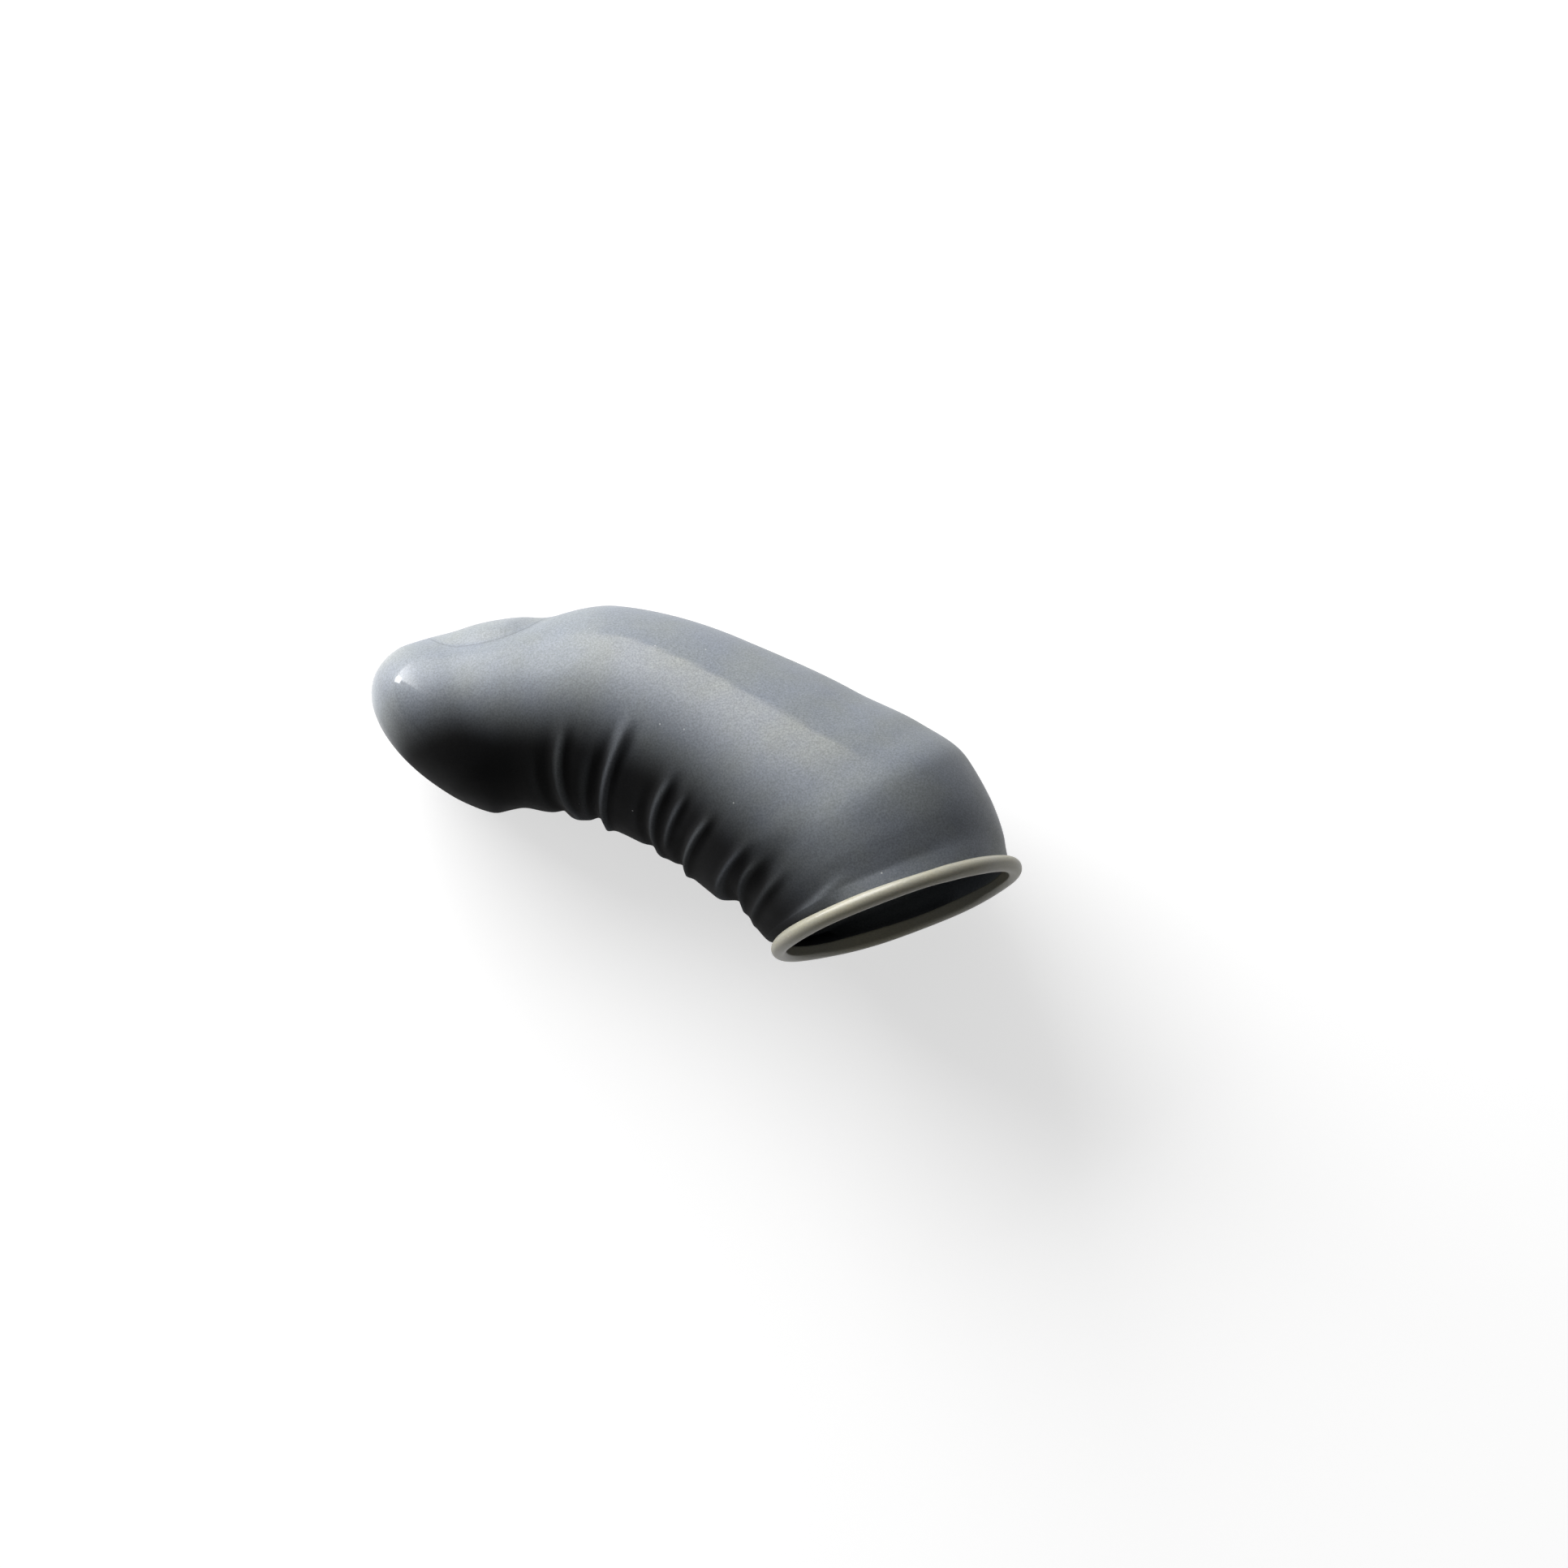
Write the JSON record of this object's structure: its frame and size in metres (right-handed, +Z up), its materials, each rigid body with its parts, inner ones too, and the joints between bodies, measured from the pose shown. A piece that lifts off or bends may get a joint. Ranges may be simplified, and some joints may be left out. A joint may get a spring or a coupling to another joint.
{
  "type": "finger cot",
  "caption": "Thin rubber sheath for one finger with a rolled rim, bent as worn and creased across the inside of the finger.",
  "frame": {"origin": "centre of the rolled rim's ring, where the finger goes in", "axes": "-Y out of the open mouth, +Z up from the surface it lies on, finger bending from +Y round to -X"},
  "size_m": [0.0463, 0.0359, 0.0218],
  "materials": {
    "latex": "satin"
  },
  "bodies": {
    "root": {"finger_cot": "latex"}
  },
  "joints": []
}
